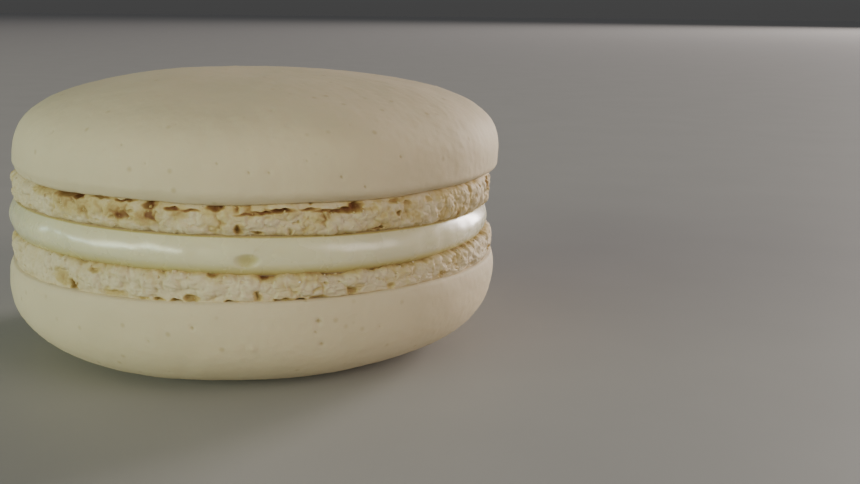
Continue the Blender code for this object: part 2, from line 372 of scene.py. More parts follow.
# Lower foot: the frothy band that the same shell pushed out as it rose in the oven, torn and crumbly.
# Its bubbles burst into hollows whose insides are painted brown, as toasting and as painted shade, and its
# upper edge laps over the cream in scallops.
FOOT_STEPS = 1640
FOOT_ROWS = 54
EDGE_TUCK = 0.75 * MM
FOOT_INSIDE = 0.93
INTO_DOME = 0.3 * MM
INTO_CREAM = 0.12 * MM
LOBE_COUNT = 130
LOBE_LEVEL = (0.10, 0.85)
LOBE_HALF_WIDTH = (0.9 * MM, 1.8 * MM)
LOBE_HALF_HEIGHT = (0.5 * MM, 0.9 * MM)
LOBE_SWELL = (0.12 * MM, 0.38 * MM)
LOBE_SHARE = 0.75
HOLLOW_COUNT = 30
HOLLOW_LEVEL = (0.70, 1.00)
HOLLOW_HALF_WIDTH = (0.8 * MM, 1.8 * MM)
HOLLOW_HALF_HEIGHT = (0.35 * MM, 0.6 * MM)
HOLLOW_DEPTH = (0.4 * MM, 1.1 * MM)
FRONT = (math.radians(-158), math.radians(-12))
# Brown painted into the hollows behind, as toasting and as painted shade.
BEHIND_BROWN_AND_SHADE = 0.7
RAGGED_WAVE = 0.9 * MM
RAGGED_ALONG = 0.12 * MM
RAGGED_UP = 0.05 * MM
CRUMB_SIZES = (1.25 * MM, 0.60 * MM, 0.30 * MM)
CRUMB_RISES = (0.25 * MM, 0.23 * MM, 0.13 * MM)
CRUMB_GAPS = (0.45, 0.40, 0.15)
CRUMB_MIDDLE = 0.78
LIP_HEIGHT = 0.55 * MM
BUBBLE_COUNT = 110
BUBBLE_LEVEL = (0.12, 0.92)
BUBBLE_HALF_WIDTH = (0.12 * MM, 0.36 * MM)
BUBBLE_HALF_HEIGHT = (0.08 * MM, 0.22 * MM)
BUBBLE_DEPTH = (0.05 * MM, 0.22 * MM)
BUBBLE_ROUNDNESS = 0.8
HOLLOW_ROUNDNESS = 0.7
SHOWN_RAGGED = 0.8
CRUMB_ON_KNOB = 0.6
CRUMB_AT_LIP = 0.25
# How far past a hollow its brown and painted shade reach, and how softly they fade.
HOLLOW_BROWN_AND_SHADE_REACH = 1.35
HOLLOW_BROWN_AND_SHADE_ROUNDNESS = (0.85, 0.9)
PATCH_SIZE = 4 * MM
PATCH_BROWN = (0.6, 0.4)
PATCH_LIMITS = (0.1, 1.4)
# Painted shade in the gaps between the crumbs: where it starts, and over what span it grows.
GAP_SHADE_START = 0.26
GAP_SHADE_SPAN = 0.36
# Brown and painted contact shade along the seam with the cream fade out over this height.
SEAM_SHADE_HEIGHT = 0.24 * MM
EDGE_TAN_HEIGHT = 0.6 * MM
EDGE_TAN_START = 1.5
SCALLOP_SIZES = (1.6 * MM, 0.7 * MM)
SCALLOP_MIDDLES = (0.4, 0.6)
SMALL_SCALLOP = 0.5
SCALLOP_HEIGHT = 0.9 * MM
SCALLOP_HOLLOW = 0.5 * MM
LOWER_LAP = 0.38 * MM
# Foot tones: tan, ochre and a dark brown that stands for toasting and for painted shade deep in the hollows.
TAN = (0.57, 0.445, 0.195)
OCHRE = (0.37, 0.235, 0.078)
TOAST_AND_SHADE = (0.20, 0.08, 0.03)
# The hollows that show: angle in degrees, height, half width, half height and depth in millimetres, and how
# brown they are painted at their middle, from 0 to 1, as toasting and as painted shade.
LOWER_HOLLOWS = [
    (-127.2, 9.95, 0.9, 0.70, 0.25, 0.34),
    (-123.0, 9.35, 0.50, 0.50, 0.5, 0.55),
    (-117.0, 10.85, 0.6, 0.17, 0.3, 0.36),
    (-112.3, 9.3, 1.2, 0.25, 0.25, 0.28),
    (-105.0, 9.05, 0.5, 0.12, 0.3, 0.4),
    (-101.8, 9.0, 0.40, 0.16, 0.5, 0.55),
    (-98.0, 8.98, 0.6, 0.18, 0.6, 0.6),
    (-94.8, 9.2, 0.55, 0.32, 0.5, 0.5),
    (-90.5, 10.95, 0.45, 0.12, 0.3, 0.5),
    (-86.8, 8.97, 0.5, 0.22, 0.5, 0.6),
    (-81.6, 9.45, 0.38, 0.50, 0.35, 0.36),
    (-80.3, 11.0, 0.35, 0.28, 0.5, 0.7),
    (-76.5, 9.05, 0.8, 0.14, 0.5, 0.5),
    (-73.0, 9.0, 0.35, 0.15, 0.5, 0.6),
    (-69.4, 9.05, 0.8, 0.18, 0.4, 0.45),
    (-67.0, 10.95, 0.4, 0.18, 0.5, 0.7),
    (-62.0, 9.35, 0.5, 0.30, 0.3, 0.40),
    (-55.5, 10.9, 0.8, 0.22, 0.7, 0.8),
    (-53.0, 9.30, 0.4, 0.35, 0.25, 0.30),
    (-38.3, 9.35, 0.5, 0.40, 0.3, 0.3),
]
# The knobs that show, in the same order, with how far they stand out instead of a depth.
LOWER_KNOBS = [
    (-103.5, 10.4, 0.9, 0.70, 0.26),
    (-98.1, 10.9, 0.4, 0.40, 0.30),
    (-90.5, 10.1, 0.9, 0.70, 0.30),
    (-85.5, 10.2, 0.7, 0.60, 0.28),
    (-77.0, 10.3, 0.8, 0.60, 0.24),
    (-70.7, 10.8, 1.1, 0.45, 0.25),
    (-60.5, 10.6, 0.8, 0.50, 0.25),
]
# Brown patches, partly scorching and partly painted shade in dimples: angle in degrees, height, half width
# and half height in millimetres, and how brown.
LOWER_BROWN_PATCHES_AND_SHADE = [
    (-125.0, 9.7, 1.8, 0.9, 0.22),
    (-111.0, 9.4, 1.6, 0.6, 0.14),
    (-89.0, 10.9, 1.6, 0.35, 0.15),
    (-80.0, 10.8, 1.4, 0.4, 0.22),
    (-75.5, 9.7, 1.4, 0.9, 0.14),
    (-62.0, 9.6, 1.2, 0.7, 0.16),
    (-51.0, 10.0, 2.4, 0.9, 0.14),
    (-34.0, 10.0, 3.0, 1.0, 0.12),
]


def foot_line(shell):
    """(radius, height from the seam) of a foot: its side draws in by the fifth power towards both edges."""
    way = np.linspace(0.0, 1.0, 200)
    tuck = np.where(way < 0.5, shell["rim_tuck"], EDGE_TUCK)
    radius = shell["foot_radius"] - tuck * np.abs(2 * way - 1) ** 5
    radius, height = even_line(radius, shell["foot_height"] * (1 - way), FOOT_ROWS)
    inside = np.array([0.0, FOOT_INSIDE]) * radius[0]
    top = np.full(2, height[0] + INTO_DOME)
    base = np.full(2, height[-1] - INTO_CREAM)
    radius = np.concatenate([inside, radius, inside[::-1]])
    return radius, np.concatenate([top, height, base])


def random_spots(random, count, level, half_width, half_height, amount):
    """(angle, height, half width, half height, amount) rows, spread evenly round the foot."""
    places = (np.arange(count) + random.random(count)) * 2 * math.pi / count - math.pi
    ranges = (level, half_width, half_height, amount)
    return list(zip(places, *(random.uniform(low, high, count) for low, high in ranges)))


def foot_spots(shell, random):
    """The lobes of one foot, and the hollows behind, from the same random numbers as its solid's. Between
    the two angles of the front there are only the hollows that are placed one by one."""
    foot = shell["foot_height"]
    lobe_level = [share * foot for share in LOBE_LEVEL]
    hollow_level = [share * foot for share in HOLLOW_LEVEL]
    lobes = random_spots(random, LOBE_COUNT, lobe_level, LOBE_HALF_WIDTH, LOBE_HALF_HEIGHT, LOBE_SWELL)
    others = random_spots(
        random, HOLLOW_COUNT, hollow_level, HOLLOW_HALF_WIDTH, HOLLOW_HALF_HEIGHT, HOLLOW_DEPTH
    )
    return lobes, [row for row in others if not FRONT[0] < row[0] < FRONT[1]]


def highest_cap(angle, height, spots, roundness=0.5):
    """The highest of many caps, each as high as its amount and nothing past its half sizes. A roundness of
    one half makes half balls with steep edges, and 1 or more makes soft mounds."""
    highest = np.zeros_like(angle)
    for place, middle, wide, tall, amount in spots:
        along = (np.mod(angle - place + math.pi, 2 * math.pi) - math.pi) * SIDE_RADIUS
        near = np.clip(1 - (along / wide) ** 2 - ((height - middle) / tall) ** 2, 0, 1)
        highest = np.maximum(highest, amount * near**roundness)
    return highest


def packed_lumps(angle, height, size, random):
    """Round lumps packed side by side, 1 at their middles. The band is cut into cells of one size, each with
    one middle at a random place, and the value falls with the square of the distance to the nearest one."""
    columns = round(2 * math.pi * SIDE_RADIUS / size)
    lines = 16
    across = np.mod(angle / (2 * math.pi), 1.0) * columns
    level = height / size
    middles = random.random((2, columns, lines))
    nearest = np.full(angle.shape, 9.0)
    for beside in (-1, 0, 1):
        for above in (-1, 0, 1):
            column = np.floor(across) + beside
            line = np.floor(level) + above
            cell = (np.mod(column, columns).astype(int), np.mod(line, lines).astype(int))
            gap_across = column + middles[0][cell] - across
            gap_up = line + middles[1][cell] - level
            nearest = np.minimum(nearest, gap_across**2 + gap_up**2)
    return 1 - np.clip(nearest, 0, 1)


def in_metres(rows):
    """Feature rows with their angle in radians and four sizes in metres; a share of brown and painted shade
    is left off.
    """
    return [(math.radians(row[0]), *(size * MM for size in row[1:5])) for row in rows]


def in_shares(rows, reach=1.0):
    """Feature rows as patches of colour: in metres, reach times as large, as strong as their last share."""
    return [
        (math.radians(angle), level * MM, reach * wide * MM, reach * tall * MM, shares[-1])
        for angle, level, wide, tall, *shares in rows
    ]


def foot_relief(points, height, axis, shell, hollows, knobs, brown_patches_and_shade):
    """(how far out, how brown and shaded) on a foot.

    Out: lobes, knobs and three sizes of packed crumb, less the hollows and the small bubbles. Brown and
    painted
    shade: round the hollows, in the bubbles, in the gaps between the crumbs, on the brown patches and at the
    seam.
    """
    random = np.random.default_rng(shell["seed"])
    foot = shell["foot_height"]
    lobes, behind = foot_spots(shell, random)
    true_angle = np.arctan2(points[..., 1], points[..., 0] - axis)
    ragged_along = RAGGED_ALONG / SIDE_RADIUS * swell(points, RAGGED_WAVE, random)
    ragged_up = RAGGED_UP * swell(points, RAGGED_WAVE, random)
    angle = true_angle + ragged_along
    level = height + ragged_up
    shown_angle = true_angle + SHOWN_RAGGED * ragged_along
    upright = points[..., 2] + SHOWN_RAGGED * ragged_up
    lumps = [packed_lumps(angle, level, size, random) for size in CRUMB_SIZES]
    crumbs = sum(rise * (lump - CRUMB_MIDDLE) for rise, lump in zip(CRUMB_RISES, lumps))
    below_lip = np.clip((foot - height) / LIP_HEIGHT, CRUMB_AT_LIP, 1)
    out = LOBE_SHARE * highest_cap(angle, level, lobes) + crumbs * below_lip
    out = np.maximum(out, highest_cap(shown_angle, upright, in_metres(knobs)) + CRUMB_ON_KNOB * crumbs)
    bubble_level = [share * foot for share in BUBBLE_LEVEL]
    bubbles = random_spots(
        random, BUBBLE_COUNT, bubble_level, BUBBLE_HALF_WIDTH, BUBBLE_HALF_HEIGHT, BUBBLE_DEPTH
    )
    bubble = highest_cap(angle, level, bubbles, BUBBLE_ROUNDNESS)
    hollow = highest_cap(shown_angle, upright, in_metres(hollows), HOLLOW_ROUNDNESS)
    hollow = np.maximum(hollow, highest_cap(angle, level, behind, HOLLOW_ROUNDNESS))
    # Hollows are painted brown inside and round about, as toasting and painted shade; bubbles are painted
    # darker by their depth.
    behind_brown_and_shade = [(row[0], row[1], HOLLOW_BROWN_AND_SHADE_REACH * row[2], HOLLOW_BROWN_AND_SHADE_REACH * row[3], BEHIND_BROWN_AND_SHADE) for row in behind]
    brown = highest_cap(shown_angle, upright, in_shares(hollows, HOLLOW_BROWN_AND_SHADE_REACH), HOLLOW_BROWN_AND_SHADE_ROUNDNESS[0])
    brown = np.maximum(brown, highest_cap(angle, level, behind_brown_and_shade, HOLLOW_BROWN_AND_SHADE_ROUNDNESS[1]))
    brown = np.maximum(brown, bubble / MM)
    # Painted shade in the gaps between the crumbs, deeper on the brown patches.
    gaps = 1 - sum(share * lump for share, lump in zip(CRUMB_GAPS, lumps))
    patches = np.clip(PATCH_BROWN[0] + PATCH_BROWN[1] * swell(points, PATCH_SIZE, random), *PATCH_LIMITS)
    # Brown patches, partly scorching and partly painted shade in dimples.
    patch_brown_and_shade = highest_cap(shown_angle, upright, in_shares(brown_patches_and_shade), 1.0)
    crevice_shade = np.clip((gaps - GAP_SHADE_START) / GAP_SHADE_SPAN, 0, 1) * (shell["gap_shade"] * patches + patch_brown_and_shade)
    brown = np.maximum(brown, crevice_shade) + patch_brown_and_shade + shell["toast"] * patches
    # Brown and painted contact shade along the seam.
    brown += shell["seam_brown_and_shade"] * np.clip(1 - height / SEAM_SHADE_HEIGHT, 0, 1)
    brown += shell["edge_tan"] * patches * np.clip(EDGE_TAN_START - height / EDGE_TAN_HEIGHT, 0, 1)
    side = np.ones(points.shape[:2])
    side[:2] = 0
    side[-2:] = 0
    return (out - np.maximum(hollow, bubble)) * side, np.clip(brown, 0, 1)


def push_out(points, axis, amount):
    """Each point moved straight out from the axis by amount."""
    angle = np.arctan2(points[..., 1], points[..., 0] - axis)
    points[..., 0] += amount * np.cos(angle)
    points[..., 1] += amount * np.sin(angle)
    return points


def scallops(points, height, out, axis, reach, random):
    """How far a foot's edge laps over the cream: packed lumps of two sizes, times a share that fades with
    the height from the seam and with the depth of a hollow."""
    angle = np.arctan2(points[..., 1], points[..., 0] - axis)
    level = np.zeros_like(angle)
    lumps = packed_lumps(angle, level, SCALLOP_SIZES[0], random) - SCALLOP_MIDDLES[0]
    lumps += SMALL_SCALLOP * (packed_lumps(angle, level, SCALLOP_SIZES[1], random) - SCALLOP_MIDDLES[1])
    near_edge = np.clip(1 - height / SCALLOP_HEIGHT, 0, 1) * np.clip(1 + out / SCALLOP_HOLLOW, 0, 1)
    return reach * lumps * near_edge


# The feet's colour runs from ivory to dark brown with their share of brown and painted shade.
foot_tones = [(0.0, IVORY), (0.30, TAN), (0.62, OCHRE), (1.0, TOAST_AND_SHADE)]
foot_froth = meringue(
    "foot_froth", foot_tones, patchiness=0.50, freckle_scale=5000.0, grain_height=0.08 * MM, softness=0.05
)
foot_points = round_sheet(*foot_line(LOWER), FOOT_STEPS)
foot_height = foot_points[..., 2][::-1].copy()
foot_points = settle_lower(lean_sideways(foot_points, LOWER, lower_rim_rise))
lower_foot_out, lower_foot_brown = foot_relief(
    foot_points, foot_height, LOWER_AXIS, LOWER, LOWER_HOLLOWS, LOWER_KNOBS, LOWER_BROWN_PATCHES_AND_SHADE
)
edge_random = np.random.default_rng(3)
foot_points[..., 2] += scallops(foot_points, foot_height, lower_foot_out, LOWER_AXIS, LOWER_LAP, edge_random)
lower_foot_points = push_out(foot_points, LOWER_AXIS, lower_foot_out)
lower_foot = closed_skin("lower_foot", lower_foot_points, lower_foot_brown)
lower_foot.data.materials.append(foot_froth)
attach(lower_foot, "root")
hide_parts("bottom_shell")

# Cream: a smooth round of vanilla butter cream, squeezed flat between the shells until it bulges.
# It was piped in one go, so its side is glossy, softly wavy, and keeps a dimple where a bubble burst.
CREAM_STEPS = 1100
CREAM_ROWS = 60
UPPER_SEAM = 14.15 * MM
UPPER_SHIFT = 0.38 * MM
UPPER_TILT = math.radians(0.75)
UPPER_SEAM_SLOPE = 0.012
UPPER_AXIS = LOWER_AXIS + UPPER_SHIFT
CREAM_BULGE = 0.8 * MM
CREAM_ROUNDNESS = 0.7
CREAM_THICKNESS = 3.0 * MM
CREAM_INSIDE = 0.95
CREAM_OVERLAP = 0.12 * MM
# Waves in the cream's side: how high, the wavelength, and how far upright distances count.
CREAM_SWELLS = ((0.07 * MM, 9 * MM, 0.35), (0.028 * MM, 2.4 * MM, 0.6))
DIMPLE_ROUNDNESS = 0.9
# Dimples: angle in degrees, height, half width, half height and depth in millimetres.
CREAM_DIMPLES = [
    (-83.0, 12.27, 1.10, 0.60, 0.26),
    (-81.0, 13.1, 0.30, 0.18, 0.04),
]
# The dimple is painted darker with its depth, as painted shade, reaching full shade at this depth.
DIMPLE_SHADE_DEPTH = 0.50 * MM
# Painted shade in a broad band over the lower shell, stronger towards the right.
LOW_BAND_SHADE = 0.70
BAND_SHARE = 0.36
BAND_FADE = 1.2
BAND_AT_RIGHT = 0.3
BAND_RIGHT_ANGLE = math.radians(-35)
# Painted contact shade as thin lines where the cream meets each shell.
LOW_SEAM_SHADE = 0.45
LOW_SEAM_SHADE_SHARE = 0.07
HIGH_SEAM_SHADE_SHARE = 0.065
HIGH_SEAM_SHADE_FADE = 0.4
CREAM = (0.73, 0.68, 0.445)
# Darker tones of the cream, reached by its painted shade: olive, then shade, then the shade at the seams.
CREAM_OLIVE_SHADE = (0.57, 0.51, 0.23)
CREAM_SHADE = (0.45, 0.345, 0.115)
CREAM_SEAM_SHADE = (0.46, 0.34, 0.215)
RIPPLE_SCALE = 500.0
RIPPLE_STRENGTH = 0.35
RIPPLE_HEIGHT = 0.05 * MM
CREAM_ROUGHNESS = (0.22, 0.34)
CREAM_SHINE = 0.8
CREAM_COAT = 0.35
CREAM_COAT_ROUGHNESS = 0.28
CREAM_SOFTNESS = 0.30
CREAM_GLOW = (1.0, 0.8, 0.45)


def cream_line():
    """(radius, share of the thickness) from the middle of the cream's top, round its bulge, to underneath:
    the radius falls short of the widest by one less a power of the sine of the way down."""
    share = np.linspace(1.0, 0.0, 300)
    radius = CREAM_RADIUS - CREAM_BULGE * (1 - np.sin(math.pi * share) ** CREAM_ROUNDNESS)
    radius, height = even_line(radius, share * CREAM_THICKNESS, CREAM_ROWS)
    inside = np.array([0.0, CREAM_INSIDE]) * radius[0]
    radius = np.concatenate([inside, radius, inside[::-1]])
    return radius, np.concatenate([[1.0, 1.0], height / CREAM_THICKNESS, [0.0, 0.0]])


def butter_cream():
    """Vanilla butter cream: pale yellow and glossy, deepened through olive to brown by its painted shade."""
    material, tree, shader, place = new_finish("butter_cream")
    # This attribute holds the cream's painted shade.
    edge = put(tree, "ShaderNodeAttribute", attribute_name="brown_and_shade").outputs["Fac"]
    colour = put_ramp(tree, edge, [(0.0, CREAM), (0.4, CREAM_OLIVE_SHADE), (0.7, CREAM_SHADE), (1.0, CREAM_SEAM_SHADE)])
    tree.links.new(colour, shader.inputs["Base Color"])
    waves = {"Vector": place, "Scale": RIPPLE_SCALE, "Detail": 3.0}
    ripple = put(tree, "ShaderNodeTexNoise", waves).outputs["Fac"]
    gloss = put_ramp(tree, ripple, [(0.3, grey(CREAM_ROUGHNESS[0])), (0.75, grey(CREAM_ROUGHNESS[1]))])
    tree.links.new(gloss, shader.inputs["Roughness"])
    put_bump(tree, shader, ripple, RIPPLE_STRENGTH, RIPPLE_HEIGHT)
    shader.inputs["Specular IOR Level"].default_value = CREAM_SHINE
    shader.inputs["Coat Weight"].default_value = CREAM_COAT
    shader.inputs["Coat Roughness"].default_value = CREAM_COAT_ROUGHNESS
    shader.inputs["Subsurface Weight"].default_value = CREAM_SOFTNESS
    shader.inputs["Subsurface Radius"].default_value = CREAM_GLOW
    shader.inputs["Subsurface Scale"].default_value = GLOW_DEPTH
    return material


def cream_painted_shade(share, angle, dimple):
    """How much painted shade the cream gets, as a sum: a broad band of shade over the lower shell, most at
    the right, a thin line of shade along both seams, and the dimple darkened by its depth."""
    right = 1 + BAND_AT_RIGHT * np.cos(angle - BAND_RIGHT_ANGLE)
    # A broad band of painted shade over the lower part of the cream.
    band = LOW_BAND_SHADE * np.clip(1 - share / BAND_SHARE, 0, 1) ** BAND_FADE * right
    # Thin lines of painted contact shade along the lower and upper seams.
    shade_at_low_seam = LOW_SEAM_SHADE * np.clip(1 - share / LOW_SEAM_SHADE_SHARE, 0, 1)
    shade_at_high_seam = np.clip(1 - (1 - share) / HIGH_SEAM_SHADE_SHARE, 0, 1) ** HIGH_SEAM_SHADE_FADE
    return np.clip(band + (shade_at_low_seam + shade_at_high_seam) + dimple / DIMPLE_SHADE_DEPTH, 0, 1)


cream_points = round_sheet(*cream_line(), CREAM_STEPS)
share = cream_points[..., 2].copy()
cream_angle = np.arctan2(cream_points[..., 1], cream_points[..., 0])
outer = np.hypot(cream_points[..., 0], cream_points[..., 1]) / CREAM_RADIUS
low_face = LOWER_SEAM - CREAM_OVERLAP + LOWER_SEAM_WAVE * np.cos(2 * (cream_angle - SEAM_HIGH_ANGLE)) * outer
high_face = UPPER_SEAM + CREAM_OVERLAP - UPPER_SEAM_SLOPE * cream_points[..., 0]
high_face -= math.tan(UPPER_TILT) * (cream_points[..., 0] - UPPER_SHIFT)
cream_points[..., 0] += CREAM_MIDDLE
cream_points[..., 2] = low_face * (1 - share) + high_face * share
cream_random = np.random.default_rng(8)
bulging = np.sin(math.pi * share)
cream_out = sum(
    rise * swell(cream_points * [1, 1, upright], wavelength, cream_random) * bulging
    for rise, wavelength, upright in CREAM_SWELLS
)
dimple = highest_cap(cream_angle, cream_points[..., 2], in_metres(CREAM_DIMPLES), DIMPLE_ROUNDNESS)
cream_points = push_out(cream_points, CREAM_MIDDLE, cream_out - dimple)
cream_round = closed_skin("cream_round", cream_points, cream_painted_shade(share, cream_angle, dimple))
cream_round.data.materials.append(butter_cream())
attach(cream_round, "root")
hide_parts("filling")

# Upper foot: the frothy band under the upper shell, with a pale lip under the dome's rim.
# Below the lip it tore along a line as it rose, which left a row of hollows and cracks, painted brown as
# toasting and as painted shade.
UPPER = {
    "radius": 22.7 * MM,
    "height": 11.95 * MM,
    "widest": 3.7 * MM,
    "flat_radius": 0.0,
    "crown_shift": 0.65 * MM,
    "out_power": 0.93,
    "up_power": 0.62,
    "foot_height": 2.45 * MM,
    "foot_radius": 22.3 * MM,
    "foot_shift": -0.38 * MM,
    "hem_tuck": 0.55 * MM,
    "rim_tuck": 0.5 * MM,
    "toast": 0.17,
    # The next share paints shade into the gaps between the crumbs.
    "gap_shade": 0.46,
    "edge_tan": 0.0,
    # The next share paints brown and contact shade along the seam with the cream.
    "seam_brown_and_shade": 0.42,
    "seed": 11,
}
UPPER_LAP = 0.12 * MM
UPPER_RIM_LIFT = 0.22 * MM
UPPER_RIM_DIP = 0.14 * MM
UPPER_RIM_DIP_ANGLE = math.radians(-85)
UPPER_RIM_RIPPLE = 0.03 * MM
# Hollows, knobs and brown patches, partly scorching and partly painted shade, with the same columns as the
# lower foot's.
UPPER_HOLLOWS = [
    (-125.5, 16.85, 1.2, 0.30, 0.7, 0.6),
    (-122.3, 16.85, 0.7, 0.28, 0.9, 0.9),
    (-116.0, 16.84, 1.0, 0.10, 0.3, 0.65),
    (-110.5, 16.74, 1.0, 0.11, 0.4, 0.8),
    (-104.3, 16.5, 0.55, 0.32, 0.5, 0.85),
    (-99.3, 16.30, 0.55, 0.13, 0.35, 0.85),
    (-95.3, 16.22, 0.70, 0.11, 0.30, 0.8),
    (-90.6, 16.45, 0.60, 0.22, 0.4, 0.75),
    (-89.6, 16.60, 0.38, 0.26, 0.5, 0.95),
    (-86.1, 14.75, 0.30, 0.40, 0.3, 0.75),
    (-82.5, 14.45, 0.4, 0.15, 0.3, 0.55),
    (-84.3, 15.90, 0.8, 0.10, 0.25, 0.75),
    (-81.3, 16.05, 1.0, 0.12, 0.35, 0.8),
    (-77.4, 16.20, 1.0, 0.21, 0.6, 0.85),
    (-71.2, 16.62, 0.22, 0.15, 0.3, 0.9),
    (-71.8, 16.22, 0.8, 0.12, 0.35, 0.75),
    (-68.6, 16.02, 0.9, 0.11, 0.35, 0.8),
    (-65.2, 15.92, 1.0, 0.15, 0.45, 0.9),
    (-61.7, 16.14, 0.72, 0.40, 0.65, 1.0),
    (-63.6, 15.98, 0.65, 0.24, 0.5, 0.95),
    (-56.3, 14.25, 0.9, 0.12, 0.35, 0.55),
    (-51.6, 15.3, 0.3, 0.20, 0.4, 0.5),
    (-52.0, 16.3, 0.7, 0.20, 0.35, 0.5),
    (-49.0, 16.05, 0.6, 0.16, 0.25, 0.4),
    (-42.5, 16.1, 0.5, 0.26, 0.2, 0.3),
]
UPPER_KNOBS = [
    (-93.0, 15.3, 0.9, 0.50, 0.24),
    (-107.5, 15.6, 0.6, 0.45, 0.24),
    (-66.5, 15.1, 0.9, 0.40, 0.24),
    (-80.0, 15.3, 0.8, 0.45, 0.22),
]
UPPER_BROWN_PATCHES_AND_SHADE = [
    (-133.0, 17.0, 3.2, 0.8, 0.40),
    (-121.0, 16.2, 3.4, 1.3, 0.36),
    (-112.0, 16.0, 2.0, 0.9, 0.42),
    (-105.0, 15.6, 1.5, 0.8, 0.42),
    (-97.7, 16.0, 1.0, 0.6, 0.40),
    (-92.0, 16.2, 0.9, 0.5, 0.16),
    (-78.0, 15.9, 1.8, 0.5, 0.22),
    (-68.0, 15.6, 1.6, 0.5, 0.14),
    (-36.5, 16.25, 3.4, 0.8, 0.16),
]


def upper_rim_rise(angle):
    """How far the rim of the upper dome lies above its foot's usual height: a lift, less a cosine with two
    dips, one of them at the front, and a sine ripple."""
    dip = UPPER_RIM_DIP * np.cos(2 * (angle - UPPER_RIM_DIP_ANGLE))
    return UPPER_RIM_LIFT - dip + UPPER_RIM_RIPPLE * np.sin(9 * angle)


def settle_upper(points):
    """The upper shell's points, its seam sloping down to the right, tilted and set on the cream."""
    near_seam = np.clip(1 - points[..., 2] / UPPER["foot_height"], 0, 1)
    across = points[..., 0].copy()
    height = points[..., 2] - UPPER_SEAM_SLOPE * across * near_seam
    points[..., 0] = across * math.cos(UPPER_TILT) + height * math.sin(UPPER_TILT) + UPPER_AXIS
    points[..., 2] = height * math.cos(UPPER_TILT) - across * math.sin(UPPER_TILT) + UPPER_SEAM
    return points


foot_points = round_sheet(*foot_line(UPPER), FOOT_STEPS)
foot_height = foot_points[..., 2].copy()
foot_points = settle_upper(lean_sideways(foot_points, UPPER, upper_rim_rise))
upper_foot_out, upper_foot_brown = foot_relief(
    foot_points, foot_height, UPPER_AXIS, UPPER, UPPER_HOLLOWS, UPPER_KNOBS, UPPER_BROWN_PATCHES_AND_SHADE
)
edge_random = np.random.default_rng(4)
foot_points[..., 2] -= scallops(foot_points, foot_height, upper_foot_out, UPPER_AXIS, UPPER_LAP, edge_random)
upper_foot_points = push_out(foot_points, UPPER_AXIS, upper_foot_out)
upper_foot = closed_skin("upper_foot", upper_foot_points, upper_foot_brown)
upper_foot.data.materials.append(foot_froth)
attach(upper_foot, "root")
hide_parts("top_shell")

# Upper dome: the smooth half of the upper shell, of the same meringue as the lower one.
# Nothing pressed on it, so it kept the full crown that it baked with. Its skin is matt and faintly freckled.
# The pits that show, with the same columns as the lower dome's.
UPPER_PITS = [
    (-65.3, 18.7, 0.24, 0.16),
    (-60.2, 17.7, 0.22, 0.14),
    (-83.6, 19.3, 0.22, 0.14),
    (-79.6, 19.2, 0.26, 0.12),
    (-72.2, 20.2, 0.24, 0.10),
    (-51.3, 20.05, 0.28, 0.14),
    (-89.7, 19.9, 0.24, 0.10),
    (-110.6, 21.2, 0.30, 0.12),
    (-132.0, 21.6, 0.30, 0.10),
    (-104.7, 19.8, 0.26, 0.10),
]

upper_points = round_sheet(*dome_line(UPPER), DOME_STEPS)
upper_points = settle_upper(lean_sideways(upper_points, UPPER, upper_rim_rise))
upper_out, upper_pit_shade = dome_relief(upper_points, UPPER_AXIS, UPPER_PITS, 6)
upper_dome = closed_skin("upper_dome", push(upper_points, upper_out), upper_pit_shade)
upper_dome.data.materials.append(dome_skin)
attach(upper_dome, "root")
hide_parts("top_shell")

# Crumbs: specks of meringue that tore off as the feet rose, and baked on to them half sunk.
# A few grains of sugar that never melted sit among them and catch the light.
CRUMB_COUNT = 420
CRUMB_RADIUS = (0.05 * MM, 0.15 * MM)
CRUMB_SINK = 0.55
CRUMB_SQUASH = (0.55, 1.35)
# Each crumb takes this share of the brown and painted shade of the foot where it sits.
CRUMB_BROWN_AND_SHADE = 0.6
CRUMB_FIRST_ROW = 6
CRUMB_SIDES = 7
CRUMB_RINGS = 3
GRAIN_COUNT = 12
GRAIN_RADIUS = (0.05 * MM, 0.08 * MM)
SUGAR = (0.86, 0.85, 0.80)
FROST_SCALE = 9000.0
FROST_ROUGHNESS = (0.08, 0.3)
# The crumbs that show: angle in degrees, height and radius in millimetres.
LOWER_SHOWN_CRUMBS = [
    (-98.1, 11.30, 0.28),
    (-96.6, 11.15, 0.20),
    (-99.2, 11.15, 0.16),
    (-84.2, 11.10, 0.20),
    (-74.8, 11.05, 0.22),
    (-73.6, 11.00, 0.16),
    (-65.0, 10.95, 0.24),
    (-88.0, 10.9, 0.20),
]
# The same for the upper foot, and one grain of sugar for the lower one.
UPPER_SHOWN_CRUMBS = [
    (-104.2, 16.3, 0.17),
    (-100.5, 15.1, 0.18),
    (-72.5, 15.0, 0.16),
]
SHOWN_GRAINS = [(-73.3, 10.45, 0.08)]


